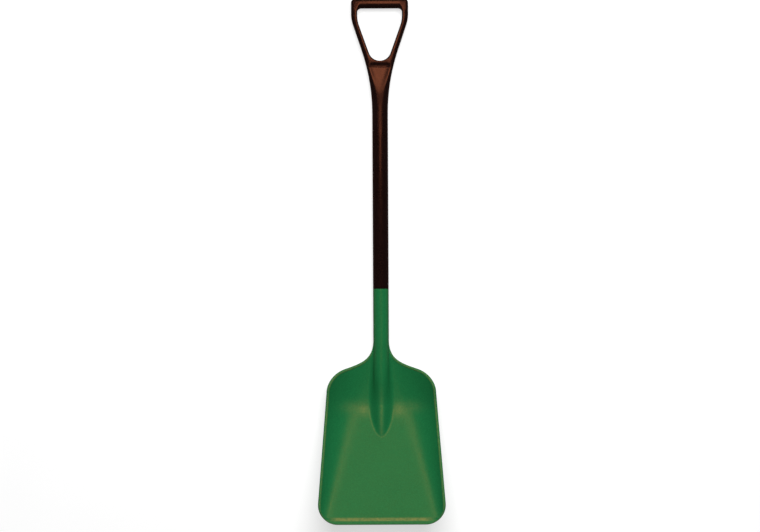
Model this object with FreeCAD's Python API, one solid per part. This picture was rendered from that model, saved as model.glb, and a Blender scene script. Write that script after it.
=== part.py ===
import FreeCAD, Part
import math
import os

# A snow shovel lying on its back, the scoop facing up. The handle runs along Y with the
# D-grip at +Y, and the handle's lowest line lies on the ground at z = 0. The origin is on
# the ground under the middle of the whole length. Lengths are millimetres, angles degrees.
# "reach" is a distance along the shovel measured back from the scoop's front edge.

Vector = FreeCAD.Vector
ALONG = Vector(0, 1, 0)
DOWN = Vector(0, 0, -1)
UP = Vector(0, 0, 1)

# Whole tool
OVERALL_LENGTH = 1410.0
HANDLE_DIAMETER = 42.0
HANDLE_RADIUS = HANDLE_DIAMETER / 2
AXIS_HEIGHT = HANDLE_RADIUS

# Scoop
BLADE_WIDTH = 342.0
SHEET = 4.5
LIFT_ANGLE = 22.0
HEEL_REACH = 318.0
HEEL_BASE = 2.0
HEEL_ROUNDING = 9.5
BACK_SLOPE = 0.11
FRONT_SLOPE = math.tan(math.radians(LIFT_ANGLE))
CORNER_RADIUS = 53.0
SIDE_TAPER_ANGLE = 4.6
SIDE_TAPER = math.tan(math.radians(SIDE_TAPER_ANGLE))
SHOULDER_REACH = 351.0
SHOULDER_TOP_REACH = 415.0
SHOULDER_TOP_HALF_WIDTH = 98.0
SHOULDER_TOP_ANGLE = 19.0
NECK_REACH = 492.0
NECK_HALF_WIDTH = 20.5
# Handle lengths of the curves that sweep from the neck round the shoulder
NECK_PULL = 52.0
SHOULDER_INNER_PULL = 45.0
SHOULDER_OUTER_PULL = 30.0
SHOULDER_SIDE_PULL = 28.0
# Crease where the floor turns up into the side walls
CREASE_AT_HEEL = 55.3
CREASE_SPREAD = 0.29
WALL_AT_CORNER = 24.0
WALL_AT_SHOULDER = 48.0
CREASE_ROUNDING = 0.15
CREASE_SHARE = 0.4

# Socket on the back of the scoop
SOCKET_REACH = 630.0
SOCKET_NOSE_REACH = 236.0
BELLY_START_REACH = 352.0
BELLY_END_REACH = 246.0
RIB_THICKNESS = 3.5
RIB_OFFSETS = (36.0, 62.0)
RIB_REACHES = ((262.0, 436.0), (276.0, 418.0))
RIB_FLAT = 60.0
RIB_FOOT_SHIFT = 12.0

# Inner spine, its end plugs and the screws that hold it
SPINE_RADIUS = 16.0
SPINE_WALL = 2.0
SPINE_CLEARANCE = 0.2
SPINE_START_REACH = 394.0
SPINE_END_REACH = 1135.0
PLUG_FLANGE = 2.0
PLUG_LENGTH = 16.0
PLUG_FLUTE = 1.2
SEAT_DEPTH = 1.0
SCREW_HEAD_RADIUS = 4.8
SCREW_HEAD_HEIGHT = 2.2
SCREW_SEAT_HEIGHT = 3.0
SCREW_SHANK_RADIUS = 2.1
SCREW_LENGTH = 13.0
SCREW_POINT = 3.0
SCREW_TIP_RADIUS = 0.4
SCREW_CLEARANCE = 0.3
SOCKET_SCREW_REACHES = (540.0, 600.0)
GRIP_SCREW_REACHES = (1070.0,)

# D-grip
SLEEVE_END_REACH = 1040.0
GRIP_WIDTH = 153.0
GRIP_THICKNESS = 30.0
GRIP_EDGE_RADIUS = 7.3
GRIP_ARM_ANGLE = 18.5
GRIP_ARM_ROOT_REACH = 1187.0
GRIP_FLARE_TANGENT = 87.0
GRIP_SHOULDER_TANGENT = 15.0
GRIP_CORNER_RADIUS = 13.0
HOLE_TOP_REACH = 1381.0
HOLE_BOTTOM_REACH = 1242.0
HOLE_WIDTH = 120.0
HOLE_SIDE_ANGLE = 19.6
HOLE_CROTCH_RADIUS = 30.7
HOLE_SHOULDER_TANGENT = 14.0
HOLE_CORNER_RADIUS = 8.0
GRIP_NECK_START_REACH = 1096.0
GRIP_NECK_END_REACH = 1240.0
GRIP_NECK_SQUARENESS = 3.6
GRIP_NECK_END_HALF_DEPTH = 13.5
GRIP_NECK_END_INSET = 2.0
GRIP_WAIST_REACH = 1228.0
GRIP_FOOT_REACH = 1180.0
GRIP_FOOT_HALF_WIDTH = 14.0
WEB_TIP_REACH = 1142.0
WEB_END_REACH = 1226.0
WEB_HALF_WIDTH = 24.0
WEB_DEPTH_AT_END = 3.0

OUT = "parts"
FAR = 400.0


def at(x, reach, z):
    """A point given by its distance behind the front edge."""
    return Vector(x, reach - OVERALL_LENGTH / 2, z)


def save(shape, name):
    """Write one sub-part."""
    if not shape.isValid():
        raise ValueError(name + " is not a valid solid")
    shape.exportStep(os.path.join(OUT, name + ".step"))


def rod(radius, start_reach, end_reach):
    """A solid rod on the handle's axis."""
    return Part.makeCylinder(radius, end_reach - start_reach, at(0, start_reach, AXIS_HEIGHT), ALONG)


def prism(points, thickness, direction):
    """An extruded polygon."""
    outline = Part.makePolygon(points + points[:1])
    return Part.Face(outline).extrude(direction * thickness)


# ---------------------------------------------------------------- scoop sheet

def side_half_width(reach):
    """Half-width of the straight flank, continued past both of its ends."""
    return BLADE_WIDTH / 2 - SIDE_TAPER * (reach - CORNER_RADIUS)


def crease_half_width(reach):
    """Where the flat floor turns up into the side wall."""
    return CREASE_AT_HEEL + CREASE_SPREAD * (HEEL_REACH - reach)


def floor_height(reach):
    """Underside of the sheet on the centre line: two straight runs blended at the heel."""
    front = HEEL_BASE + FRONT_SLOPE * (HEEL_REACH - reach)
    back = HEEL_BASE + BACK_SLOPE * (reach - HEEL_REACH)
    return (front + back) / 2 + math.hypot((front - back) / 2, HEEL_ROUNDING)


def wall_rise(x, reach):
    """How far the wall has climbed above the floor: a rounded crease, then steeper and steeper."""
    crease = crease_half_width(reach)
    across = max(0.0, (abs(x) - crease) / (side_half_width(reach) - crease))
    rounded = math.hypot(across, CREASE_ROUNDING) - CREASE_ROUNDING
    full_rounded = math.hypot(1, CREASE_ROUNDING) - CREASE_ROUNDING
    share = CREASE_SHARE * rounded + (1 - CREASE_SHARE) * across ** 3
    full_share = CREASE_SHARE * full_rounded + (1 - CREASE_SHARE)
    along = (reach - CORNER_RADIUS) / (SHOULDER_REACH - CORNER_RADIUS)
    height = WALL_AT_CORNER + (WALL_AT_SHOULDER - WALL_AT_CORNER) * along
    return height * share / full_share


def underside(x, reach):
    return floor_height(reach) + wall_rise(x, reach)


def sheet_normal(x, reach):
    """Upward unit normal of the underside."""
    step = 0.5
    across = (underside(x + step, reach) - underside(x - step, reach)) / (2 * step)
    along = (underside(x, reach + step) - underside(x, reach - step)) / (2 * step)
    normal = Vector(-across, -along, 1)
    return normal.normalize()


def bezier(points, count):
    """Evenly stepped points on a cubic Bezier curve, without its last point."""
    curve = Part.BezierCurve()
    curve.setPoles(points)
    return [curve.value(i / count) for i in range(count)]


def outline_stations():
    """(half-width, reach) of the scoop's edge, from the neck round to the front edge."""
    angle = math.radians(SHOULDER_TOP_ANGLE)
    top = Vector(SHOULDER_TOP_HALF_WIDTH, SHOULDER_TOP_REACH, 0)
    heading = Vector(math.cos(angle), -math.sin(angle), 0)
    neck = Vector(NECK_HALF_WIDTH, NECK_REACH, 0)
    side = Vector(side_half_width(SHOULDER_REACH), SHOULDER_REACH, 0)
    flare = bezier([neck, neck - ALONG * NECK_PULL, top - heading * SHOULDER_INNER_PULL, top], 9)
    shoulder = bezier([top, top + heading * SHOULDER_OUTER_PULL, side + ALONG * SHOULDER_SIDE_PULL, side], 6)
    taper = math.radians(SIDE_TAPER_ANGLE)
    corner_start = CORNER_RADIUS * (1 + math.sin(taper))
    corner_centre = side_half_width(corner_start) - CORNER_RADIUS * math.cos(taper)
    count = 9
    flank = []
    for i in range(count):
        reach = SHOULDER_REACH + (corner_start - SHOULDER_REACH) * i / count
        flank.append(Vector(side_half_width(reach), reach, 0))
    corner = []
    for i in range(count + 1):
        turn = -taper + (math.pi / 2 + taper) * i / count
        half_width = corner_centre + CORNER_RADIUS * math.cos(turn)
        corner.append(Vector(half_width, CORNER_RADIUS * (1 - math.sin(turn)), 0))
    return flare + shoulder + flank + corner


def sheet_faces(offset):
    """Surface of the scoop, raised by offset along its own normal."""
    columns = 28
    rows = []
    for edge in outline_stations():
        row = []
        for i in range(columns + 1):
            x = edge.x * (2 * i / columns - 1)
            point = at(x, edge.y, underside(x, edge.y))
            row.append(point + sheet_normal(x, edge.y) * offset)
        rows.append(row)
    surface = Part.BSplineSurface()
    surface.interpolate(rows)
    return surface


def edge_curves(surface):
    """The four boundary curves, in the same order for every sheet surface."""
    u0, u1, v0, v1 = surface.bounds()
    curves = [surface.uIso(u0), surface.uIso(u1), surface.vIso(v0), surface.vIso(v1)]
    return [curve.toShape() for curve in curves]


def scoop_sheet():
    """The pan: two parallel skins closed by a strip round the rim."""
    lower = sheet_faces(0.0)
    upper = sheet_faces(SHEET)
    faces = [lower.toShape(), upper.toShape()]
    for low, high in zip(edge_curves(lower), edge_curves(upper)):
        faces.append(Part.makeRuledSurface(low, high))
    shell = Part.makeShell(faces)
    shell.sewShape()
    solid = Part.Solid(shell)
    if solid.Volume < 0:
        solid.reverse()
    return solid


# ---------------------------------------------------------------- socket, ribs

def socket_body():
    """Round socket whose nose is buried by the rising floor and scarfed off underneath."""
    body = rod(HANDLE_RADIUS, SOCKET_NOSE_REACH, SOCKET_REACH)
    rise = floor_height(BELLY_END_REACH)
    slope = rise / (BELLY_START_REACH - BELLY_END_REACH)
    wedge = [
        at(-FAR / 2, BELLY_START_REACH, 0),
        at(-FAR / 2, BELLY_END_REACH - FAR, rise + slope * FAR),
        at(-FAR / 2, BELLY_END_REACH - FAR, -FAR),
        at(-FAR / 2, BELLY_START_REACH, -FAR),
    ]
    return body.cut(prism(wedge, FAR, Vector(1, 0, 0)))


def rib(x, start_reach, end_reach):
    """Upright web under the scoop: flat where it meets the ground, curved up at both ends."""
    start = at(x, start_reach, underside(x, start_reach) + SHEET / 2)
    end = at(x, end_reach, underside(x, end_reach) + SHEET / 2)
    middle = (start_reach + end_reach) / 2 + RIB_FOOT_SHIFT
    flat_start = at(x, middle - RIB_FLAT / 2, 0)
    flat_end = at(x, middle + RIB_FLAT / 2, 0)
    count = 8
    tops = []
    for i in range(count + 1):
        reach = start_reach + (end_reach - start_reach) * i / count
        tops.append(at(x, reach, underside(x, reach) + SHEET / 2))
    top = Part.BSplineCurve()
    top.interpolate(tops)
    front = Part.BezierCurve()
    front.setPoles([start, flat_start - ALONG * RIB_FLAT / 4, flat_start])
    rear = Part.BezierCurve()
    rear.setPoles([flat_end, flat_end + ALONG * RIB_FLAT / 4, end])
    edges = [top.toShape(), front.toShape(), Part.makeLine(flat_start, flat_end), rear.toShape()]
    wire = Part.Wire(Part.__sortEdges__(edges))
    web = Part.Face(wire).extrude(Vector(RIB_THICKNESS, 0, 0))
    web.translate(Vector(-RIB_THICKNESS / 2, 0, 0))
    return web


def ribs():
    webs = []
    for offset, (start, end) in zip(RIB_OFFSETS, RIB_REACHES):
        for side in (-1, 1):
            webs.append(rib(side * offset, start, end))
    return webs


def screw_seat(reach):
    """Counterbore and clearance hole for a screw driven up from underneath."""
    head = Part.makeCylinder(SCREW_HEAD_RADIUS + SCREW_CLEARANCE, FAR, at(0, reach, SCREW_SEAT_HEIGHT), DOWN)
    hole = Part.makeCylinder(SCREW_SHANK_RADIUS + SCREW_CLEARANCE, AXIS_HEIGHT, at(0, reach, 0), UP)
    return head.fuse(hole)


def spine_bore(start_reach, end_reach):
    return rod(SPINE_RADIUS + SPINE_CLEARANCE, start_reach, end_reach)


def blade():
    body = scoop_sheet().fuse([socket_body()] + ribs())
    body = body.cut(spine_bore(SPINE_START_REACH - PLUG_FLANGE - SEAT_DEPTH, SOCKET_REACH))
    for reach in SOCKET_SCREW_REACHES:
        body = body.cut(screw_seat(reach))
    return body


# ---------------------------------------------------------------- handle

def shaft_sleeve():
    sleeve = rod(HANDLE_RADIUS, SOCKET_REACH, SLEEVE_END_REACH)
    return sleeve.cut(spine_bore(SOCKET_REACH, SLEEVE_END_REACH))


def core_tube():
    tube = rod(SPINE_RADIUS, SPINE_START_REACH, SPINE_END_REACH)
    tube = tube.cut(rod(SPINE_RADIUS - SPINE_WALL, SPINE_START_REACH, SPINE_END_REACH))
    for reach in SOCKET_SCREW_REACHES + GRIP_SCREW_REACHES:
        pilot = Part.makeCylinder(SCREW_SHANK_RADIUS, AXIS_HEIGHT, at(0, reach, 0), UP)
        tube = tube.cut(pilot)
    return tube


def core_plug(face_reach, inward):
    """Stopper with a flange on the tube's end and a shallow flute round its middle."""
    direction = ALONG * inward
    seat = at(0, face_reach, AXIS_HEIGHT)
    flange = Part.makeCylinder(SPINE_RADIUS, PLUG_FLANGE, seat, direction * -1)
    stem_radius = SPINE_RADIUS - SPINE_WALL - SPINE_CLEARANCE / 2
    stem = Part.makeCylinder(stem_radius, PLUG_LENGTH, seat, direction)
    middle = seat + direction * (PLUG_LENGTH / 2)
    flute = Part.makeTorus(stem_radius + PLUG_FLUTE / 2, PLUG_FLUTE, middle, ALONG)
    return flange.fuse(stem).cut(flute)


def screw(reach):
    """Self-tapping screw with a low round head, a crossed drive and a pointed end."""
    seat = at(0, reach, SCREW_SEAT_HEIGHT)
    head = Part.makeCylinder(SCREW_HEAD_RADIUS, SCREW_HEAD_HEIGHT, seat, DOWN)
    rim = [edge for edge in head.Edges if edge.BoundBox.ZMax < SCREW_SEAT_HEIGHT - SCREW_HEAD_HEIGHT / 2]
    head = head.makeFillet(SCREW_HEAD_HEIGHT / 3, rim)
    straight = SCREW_LENGTH - SCREW_POINT
    shank = Part.makeCylinder(SCREW_SHANK_RADIUS, straight, seat, UP)
    point = Part.makeCone(SCREW_SHANK_RADIUS, SCREW_TIP_RADIUS, SCREW_POINT, seat + UP * straight, UP)
    body = head.fuse([shank, point])
    slot_length = SCREW_HEAD_RADIUS
    slot_width = slot_length / 4
    slot_depth = SCREW_HEAD_HEIGHT / 2
    face = seat + DOWN * SCREW_HEAD_HEIGHT
    for length, width in ((slot_length, slot_width), (slot_width, slot_length)):
        corner = face - Vector(length / 2, width / 2, slot_depth)
        body = body.cut(Part.makeBox(length, width, 2 * slot_depth, corner))
    return body


def screws(reaches):
    return Part.makeCompound([screw(reach) for reach in reaches])


# ---------------------------------------------------------------- D-grip

def rounded_wire(corners, height):
    """Closed outline through (x, reach, radius) corners, each corner rounded by its radius."""
    points = [at(x, reach, height) for x, reach, radius in corners]
    count = len(points)
    edges = []
    ends = []
    for i, (x, reach, radius) in enumerate(corners):
        before = (points[i - 1] - points[i]).normalize()
        after = (points[(i + 1) % count] - points[i]).normalize()
        half = before.getAngle(after) / 2
        tangent = radius / math.tan(half)
        bisector = (before + after).normalize()
        first = points[i] + before * tangent
        last = points[i] + after * tangent
        centre = points[i] + bisector * (radius / math.sin(half))
        edges.append(Part.Arc(first, centre - bisector * radius, last).toShape())
        ends.append((first, last))
    for i in range(count):
        edges.append(Part.makeLine(ends[i][1], ends[(i + 1) % count][0]))
    return Part.Wire(Part.__sortEdges__(edges))


def tangent_radius(tangent, turn_angle):
    """Radius of the arc whose tangent length is known, at a corner turning by an angle."""
    return tangent / math.tan(math.radians(turn_angle) / 2)


def mirrored(half_outline):
    """A closed ring of corners from its right half, listed from the bottom to the top."""
    left = [(-x, reach, radius) for x, reach, radius in reversed(half_outline)]
    return half_outline + left


def arm_line(reach):
    """Outer half-width of the slanted arm."""
    return HANDLE_RADIUS + (reach - GRIP_ARM_ROOT_REACH) * math.tan(math.radians(GRIP_ARM_ANGLE))


def grip_outline():
    side = GRIP_WIDTH / 2
    shoulder = GRIP_ARM_ROOT_REACH + (side - HANDLE_RADIUS) / math.tan(math.radians(GRIP_ARM_ANGLE))
    return mirrored([
        (GRIP_FOOT_HALF_WIDTH, GRIP_FOOT_REACH, GRIP_EDGE_RADIUS / 2),
        (arm_line(GRIP_WAIST_REACH), GRIP_WAIST_REACH, GRIP_CORNER_RADIUS),
        (side, shoulder, tangent_radius(GRIP_SHOULDER_TANGENT, GRIP_ARM_ANGLE)),
        (side, OVERALL_LENGTH, GRIP_CORNER_RADIUS),
    ])


def hole_outline():
    angle = math.radians(HOLE_SIDE_ANGLE)
    side = HOLE_WIDTH / 2
    crotch = HOLE_CROTCH_RADIUS
    drop = crotch * (1 / math.sin(angle) - 1)
    apex = HOLE_BOTTOM_REACH - drop
    shoulder = apex + side / math.tan(angle)
    half = [
        (side, shoulder, tangent_radius(HOLE_SHOULDER_TANGENT, HOLE_SIDE_ANGLE)),
        (side, HOLE_TOP_REACH, HOLE_CORNER_RADIUS),
    ]
    return [(0, apex, crotch)] + mirrored(half)


def grip_ring():
    """The D itself: a plate with the hand opening, all its long edges rounded."""
    base = AXIS_HEIGHT - GRIP_THICKNESS / 2
    plate = Part.Face(rounded_wire(grip_outline(), base)).extrude(UP * GRIP_THICKNESS)
    hole = Part.Face(rounded_wire(hole_outline(), base)).extrude(UP * GRIP_THICKNESS)
    ring = plate.cut(hole)
    rims = []
    for edge in ring.Edges:
        box = edge.BoundBox
        if box.ZLength < SEAT_DEPTH:
            rims.append(edge)
    return ring.makeFillet(GRIP_EDGE_RADIUS, rims)


def neck_section(reach, half_width, half_depth, squareness):
    """Closed curve across the handle: a circle at squareness 2, boxier above it."""
    count = 24
    points = []
    for i in range(count):
        turn = 2 * math.pi * i / count
        x = math.copysign(abs(math.cos(turn)) ** (2 / squareness), math.cos(turn))
        z = math.copysign(abs(math.sin(turn)) ** (2 / squareness), math.sin(turn))
        points.append(at(half_width * x, reach, AXIS_HEIGHT + half_depth * z))
    curve = Part.BSplineCurve()
    curve.interpolate(Points=points, PeriodicFlag=True)
    return Part.Wire(curve.toShape())


def grip_neck():
    """Round collar, then the handle spreading and thinning into the flat root of the D."""
    radius = tangent_radius(GRIP_FLARE_TANGENT, GRIP_ARM_ANGLE)
    start = GRIP_ARM_ROOT_REACH - GRIP_FLARE_TANGENT
    count = 7
    sections = []
    for i in range(count + 1):
        share = i / count
        reach = GRIP_NECK_START_REACH + (GRIP_NECK_END_REACH - GRIP_NECK_START_REACH) * share
        eased = share * share * (3 - 2 * share)
        flare = radius - math.sqrt(radius ** 2 - max(0.0, reach - start) ** 2)
        half_width = HANDLE_RADIUS + flare - GRIP_NECK_END_INSET * eased
        half_depth = HANDLE_RADIUS + (GRIP_NECK_END_HALF_DEPTH - HANDLE_RADIUS) * eased
        squareness = 2 + (GRIP_NECK_SQUARENESS - 2) * eased
        sections.append(neck_section(reach, half_width, half_depth, squareness))
    collar = Part.Face(sections[0]).extrude(ALONG * (SLEEVE_END_REACH - GRIP_NECK_START_REACH))
    return collar.fuse(Part.makeLoft(sections, True, False))


def web_recess(side):
    """Shallow three-cornered hollow that deepens towards the opening, on one face of the neck."""
    surface = AXIS_HEIGHT + side * HANDLE_RADIUS
    floor = AXIS_HEIGHT + side * (GRIP_THICKNESS / 2 - WEB_DEPTH_AT_END)
    outline = [at(0, WEB_TIP_REACH, surface), at(-WEB_HALF_WIDTH, WEB_END_REACH, floor),
               at(WEB_HALF_WIDTH, WEB_END_REACH, floor)]
    return prism(outline, FAR / 2, UP * side)


def d_grip():
    body = grip_ring().fuse(grip_neck())
    hole = Part.Face(rounded_wire(hole_outline(), 0)).extrude(UP * HANDLE_DIAMETER)
    body = body.cut(hole.common(Part.makeBox(FAR, FAR, FAR, at(-FAR / 2, HOLE_BOTTOM_REACH - 1, 0))))
    for side in (-1, 1):
        body = body.cut(web_recess(side))
    body = body.cut(spine_bore(SLEEVE_END_REACH, SPINE_END_REACH + PLUG_FLANGE + SEAT_DEPTH))
    for reach in GRIP_SCREW_REACHES:
        body = body.cut(screw_seat(reach))
    return body


def main():
    os.makedirs(OUT, exist_ok=True)
    save(blade(), "blade")
    save(shaft_sleeve(), "shaft_sleeve")
    save(d_grip(), "d_grip")
    save(core_tube(), "core_tube")
    save(core_plug(SPINE_START_REACH, 1), "core_plug_lower")
    save(core_plug(SPINE_END_REACH, -1), "core_plug_upper")
    save(screws(SOCKET_SCREW_REACHES), "socket_screws")
    save(screws(GRIP_SCREW_REACHES), "grip_screw")


main()
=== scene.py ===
import bmesh
import bpy
import math
import numpy as np
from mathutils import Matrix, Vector


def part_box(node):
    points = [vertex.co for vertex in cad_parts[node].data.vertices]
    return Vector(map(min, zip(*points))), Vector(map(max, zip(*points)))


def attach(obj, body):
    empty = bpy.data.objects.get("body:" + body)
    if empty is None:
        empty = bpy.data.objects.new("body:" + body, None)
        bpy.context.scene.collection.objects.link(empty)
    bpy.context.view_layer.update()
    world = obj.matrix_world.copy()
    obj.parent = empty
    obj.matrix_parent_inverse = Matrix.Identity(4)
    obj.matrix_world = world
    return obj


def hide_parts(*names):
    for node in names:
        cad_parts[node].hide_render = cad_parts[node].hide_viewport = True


# A snow shovel lying on its back on a pale floor. Shapes are worked out in millimetres and turned
# into metres as they become meshes. "reach" runs back from the scoop's front edge to the grip.

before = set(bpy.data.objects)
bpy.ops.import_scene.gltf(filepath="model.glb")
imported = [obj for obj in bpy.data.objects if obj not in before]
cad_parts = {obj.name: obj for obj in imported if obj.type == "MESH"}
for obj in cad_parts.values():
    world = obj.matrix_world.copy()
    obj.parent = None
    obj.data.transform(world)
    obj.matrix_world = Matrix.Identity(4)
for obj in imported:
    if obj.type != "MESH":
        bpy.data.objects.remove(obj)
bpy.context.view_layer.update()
MM = 0.001

# Places read from the frame
FRONT_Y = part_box("blade")[0].y / MM
SOCKET_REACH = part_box("blade")[1].y / MM - FRONT_Y
SLEEVE_END_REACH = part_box("shaft_sleeve")[1].y / MM - FRONT_Y
OVERALL_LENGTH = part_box("d_grip")[1].y / MM - FRONT_Y
HANDLE_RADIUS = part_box("shaft_sleeve")[1].x / MM
AXIS_HEIGHT = HANDLE_RADIUS
CORE_CLEARANCE = 0.2
CORE_END_GAP = 1.0
CORE_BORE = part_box("core_tube")[1].x / MM + CORE_CLEARANCE
CORE_BORE_END_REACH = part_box("core_plug_lower")[0].y / MM - FRONT_Y - CORE_END_GAP

# Screws, each at the bottom of a round counterbore in the underside
SOCKET_SCREW_REACHES = (540.0, 600.0)
GRIP_SCREW_REACHES = (1070.0,)
SCREW_HEAD_HEIGHT = 2.2
SCREW_BORE_RADIUS = 5.1
SCREW_BORE_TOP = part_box("grip_screw")[0].z / MM + SCREW_HEAD_HEIGHT
SCREW_BORE_START = -2.0
SCREW_BORE_SIDES = 48
SCREW_BORE_EDGE_ANGLE = math.radians(50)

# Scoop pan
BLADE_WIDTH = 342.0
SHEET = 4.5
FRONT_SLOPE = math.tan(math.radians(22))
BACK_SLOPE = 0.11
HEEL_REACH = 318.0
HEEL_BASE = 2.0
HEEL_ROUNDING = 9.5
CORNER_RADIUS = 53.0
CORNER_END_ANGLE = math.radians(89)
SIDE_TAPER_ANGLE = math.radians(4.6)
SIDE_TAPER = math.tan(SIDE_TAPER_ANGLE)
SHOULDER_REACH = 351.0
SHOULDER_TOP = (98.0, 415.0)
SHOULDER_TOP_ANGLE = math.radians(19)
NECK_REACH = 492.0
NECK_HALF_WIDTH = 20.9
NECK_PULL = 52.0
SHOULDER_INNER_PULL = 45.0
SHOULDER_OUTER_PULL = 30.0
SHOULDER_SIDE_PULL = 28.0
CREASE_AT_HEEL = 55.3
CREASE_SPREAD = 0.29
CREASE_ROUNDING = 0.15
CREASE_SHARE = 0.4
WALL_AT_CORNER = 24.0
WALL_AT_SHOULDER = 48.0
LIP_START = 18.0
LIP_END = 10.5
LIP_DROP = 1.4
RIM_BULGE = 1.0
RIM_INSET = 1.4
RIM_SQUARENESS = 0.6

# Socket ridge on the face, and belly underneath
NOSE_TIP_REACH = 233.0
NOSE_SHOULDER_REACH = 330.0
NOSE_HALF_WIDTH = 34.0
NOSE_BLUNTNESS = 0.55
NOSE_CREST_HEIGHT = 34.5
NOSE_TIP_HEIGHT = 43.6
NOSE_CREST_BULGE = 2.4
ROLLOVER_START = 396.0
ROLLOVER_END = 318.0
TUBE_END_REACHES = (320.0, 462.0)
TUBE_FLANK_ANGLE = math.radians(84)
TUBE_FILLET = 12.0
BELLY_START_REACH = 352.0
BELLY_END_REACH = 246.0
BELLY_FILLET = 6.0
FILLET_SHARE = 0.8
FILLET_LEAST = 0.05
MOUTH_ROUNDING = 0.8

# Bead round the rim
BEAD_RADIUS = 3.9
BEAD_RADIUS_AT_FRONT = 1.7

# Ribs under the scoop
RIB_OFFSETS = (36.0, 62.0)
RIB_REACHES = ((262.0, 436.0), (276.0, 418.0))
RIB_FLAT = 60.0
RIB_FOOT_SHIFT = 12.0
RIB_HALF_THICKNESS = 1.75
RIB_ROOT_FILLET = 2.5
RIB_FOOT_ROUNDING = 0.7
RIB_EMBED = 0.6
RIB_LEAST_DEPTH = 0.02
RIB_ROOT_SHARE = 0.5
RIB_FOOT_SHARE = 0.3

# Handle sleeve
SLEEVE_EDGE = 0.2
SLEEVE_PLAIN_END = 3.0

# D-grip outline, in plan
GRIP_WIDTH = 153.0
ARM_ANGLE = math.radians(18.5)
ARM_ROOT_REACH = 1187.0
ARM_FLARE_RADIUS = 534.0
ARM_SHOULDER_RADIUS = 92.0
GRIP_CORNER_RADIUS = 13.0
HOLE_WIDTH = 120.0
HOLE_TOP_REACH = 1381.0
HOLE_BOTTOM_REACH = 1242.0
HOLE_SIDE_ANGLE = math.radians(19.6)
HOLE_CROTCH_RADIUS = 30.7
HOLE_SHOULDER_RADIUS = 81.0
HOLE_CORNER_RADIUS = 8.0

# D-grip thickness, roundings and the hollow in its web
NECK_START_REACH = 1118.0
NECK_END_REACH = 1240.0
GRIP_HALF_THICKNESS = 15.0
GRIP_EDGE = 0.2
ARM_OUTER_ROUNDING = 12.0
ARM_INNER_ROUNDING = 5.0
ARM_RIDGE_BLEND = 2.0
BAR_OUTER_ROUNDING = 9.0
BAR_INNER_ROUNDING = 22.0
BAR_BLEND = (1368.0, 1384.0)
BAR_END_BLEND = (50.0, 64.0)
WEB_TIP_REACH = 1142.0
WEB_END_REACH = 1227.0
WEB_LENGTH = WEB_END_REACH - WEB_TIP_REACH
WEB_HALF_WIDTH = 24.0
WEB_FLOOR_AT_END = 8.6
WEB_RAMP_SLOPE = 0.5
WEB_SIDE_SLOPE = 0.45
WEB_FLOOR_BLEND = 4.0
WEB_SIDE_BLEND = 5.0
WEB_RIM_BLEND = 2.5
CROTCH_DIP = 1.5
CROTCH_DIP_REACH = 1221.0
CROTCH_DIP_LENGTH = 12.0

# Painted highlights on the scoop and its bead, laid on as a paler colour. Strengths run from 0 to
# 1, and a pair is the stretch where one fades in or out.
LIP_HIGHLIGHT = 0.9
LIP_HIGHLIGHT_WIDTH = 4.4
LIP_HIGHLIGHT_SIDES = (115.0, 145.0)
CREST_HIGHLIGHT = 0.16
CREST_HIGHLIGHT_WIDTH = 6.0
CREST_HIGHLIGHT_START = (227.0, 245.0)
CREST_HIGHLIGHT_END = (298.0, 396.0)
FOOT_HIGHLIGHT = 0.25
FOOT_HIGHLIGHT_WIDTH = 1.8
FOOT_HIGHLIGHT_OFFSET = 0.5
FOOT_HIGHLIGHT_START = 231.0
FOOT_HIGHLIGHT_END = (288.0, 328.0)
CREASE_HIGHLIGHT = 0.1
CREASE_HIGHLIGHT_WIDTH = 12.0
CREASE_HIGHLIGHT_OFFSET = 4.0
CREASE_HIGHLIGHT_END = (288.0, 318.0)
BEAD_HIGHLIGHT = 0.36
BEAD_HIGHLIGHT_ANGLE = math.radians(60)
# Painted highlight spots at the heel as (reach, distance from the centre line, length, width,
# strength)
HEEL_HIGHLIGHTS = ((304.0, 46.0, 16.0, 12.0, 0.4), (312.0, 78.0, 16.0, 26.0, 0.2))

# How finely the shapes are cut up, and limits that keep the sums safe
FLARE_STEPS = 40
SHOULDER_STEPS = 26
FLANK_STEPS = 96
CORNER_STEPS = 34
FRONT_STEPS = 40
TUBE_STEPS = 40
MOUTH_STEPS = 5
COLUMNS = 84
SECTION_SAMPLES = 500
SOCKET_CLOSENESS = 2.2
SOCKET_CLOSE_WIDTH = 34.0
RIM_CLOSENESS = 2.0
RIM_CLOSE_WIDTH = 4.0
RIM_STEPS = 6
BEAD_SIDES = 20
RIB_CURVE_STEPS = 16
RIB_FLAT_STEPS = 12
RIB_ROUND_STEPS = 7
SLEEVE_SIDES = 144
SLEEVE_STEPS = 60
SLEEVE_EDGE_STEPS = 6
ARC_STEPS = 17
PLAN_STEP = 0.5
PLAN_START_REACH = 1020.0
PLAN_MARGINS = (8.0, 12.0)
TABLE_EDGE = 1.001
NET_STEP = 1.25
NET_MARGIN = 3.0
NORMAL_STEP = 0.5
SLOPE_STEP = 0.08
LEAST_STEEPNESS = 0.25
SETTLING_ROUNDS = 2
SMALL = 0.01
TINY = 1e-9

# Textures: scales in features per metre, and depths in metres
FLOW_SCALE = 12
SPECKLE_SCALE = 330
# Size of the patches that break up the painted highlights
HIGHLIGHT_PATCH_SCALE = 150
GLOSS_SCALE = 30
WAVE_SCALE = 22
WAVE_DEPTH = 0.0006
WAVE_STRENGTH = 0.25
GRAIN_SCALE = 700
GRAIN_DEPTH = 0.0001
GLOSS_SPREAD = 0.05
SHEEN_ROUGHNESS = 0.3
METAL_SCALE = 300
METAL_GRAIN_STRENGTH = 0.2
METAL_GLOSS_SPREAD = 0.08
MIX_COLOUR_INPUTS = (6, 7)
MIX_COLOUR_OUTPUT = 2

# Material slots of the record
GREEN = "green_polypropylene"
BROWN = "brown_polypropylene"

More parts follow.
